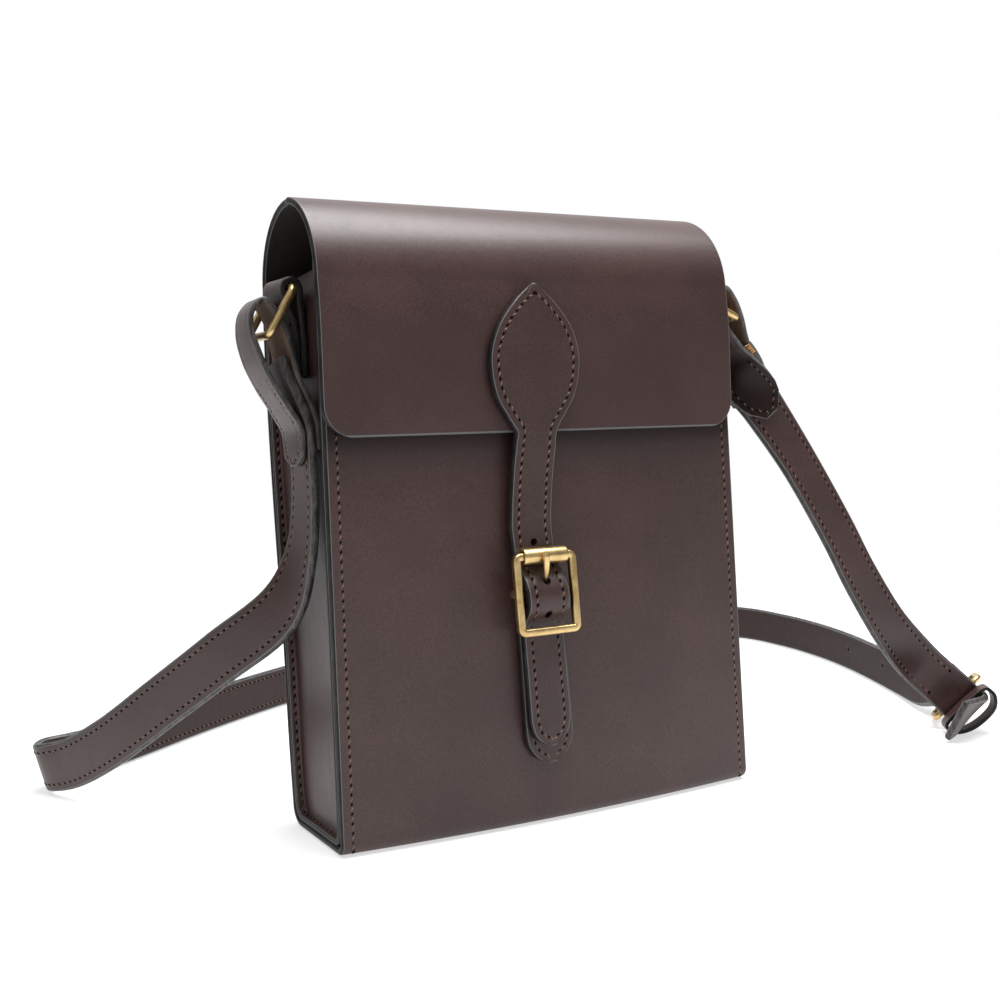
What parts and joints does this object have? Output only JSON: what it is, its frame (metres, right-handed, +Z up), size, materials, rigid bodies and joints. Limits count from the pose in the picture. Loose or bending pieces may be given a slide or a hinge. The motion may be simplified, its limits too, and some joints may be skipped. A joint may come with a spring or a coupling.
{
  "type": "satchel",
  "caption": "Upright leather shoulder satchel with an arched flap, a leaf-shaped patch running into a buckled closure strap, side rings and a long trailing shoulder strap.",
  "frame": {"origin": "centre of the flat bottom of the bag, on the surface it stands on", "axes": "+Z up, -Y out of the front with the buckle, +X to the right as seen from the front"},
  "size_m": [0.5039, 0.3584, 0.246],
  "materials": {
    "leather": "smooth dark plum-brown leather with a satin sheen",
    "strap_leather": "thick dark brown strap leather with burnished dark edges and a brown flesh side",
    "brass": "satin solid brass, slightly aged"
  },
  "bodies": {
    "root": {"body_wrap": "leather", "gusset_left": "leather", "gusset_right": "leather", "ring_tab_left": "leather", "ring_tab_right": "leather", "ring_left": "brass", "ring_right": "brass", "closure_strap": "strap_leather", "buckle_chape": "strap_leather", "buckle_frame": "brass", "buckle_roller": "brass", "buckle_prong": "brass", "strap_loop_left": "strap_leather", "strap_loop_right": "strap_leather", "strap_long": "strap_leather", "strap_short": "strap_leather", "strap_buckle_frame": "brass", "strap_buckle_prong": "brass", "strap_keeper": "strap_leather"}
  },
  "joints": []
}
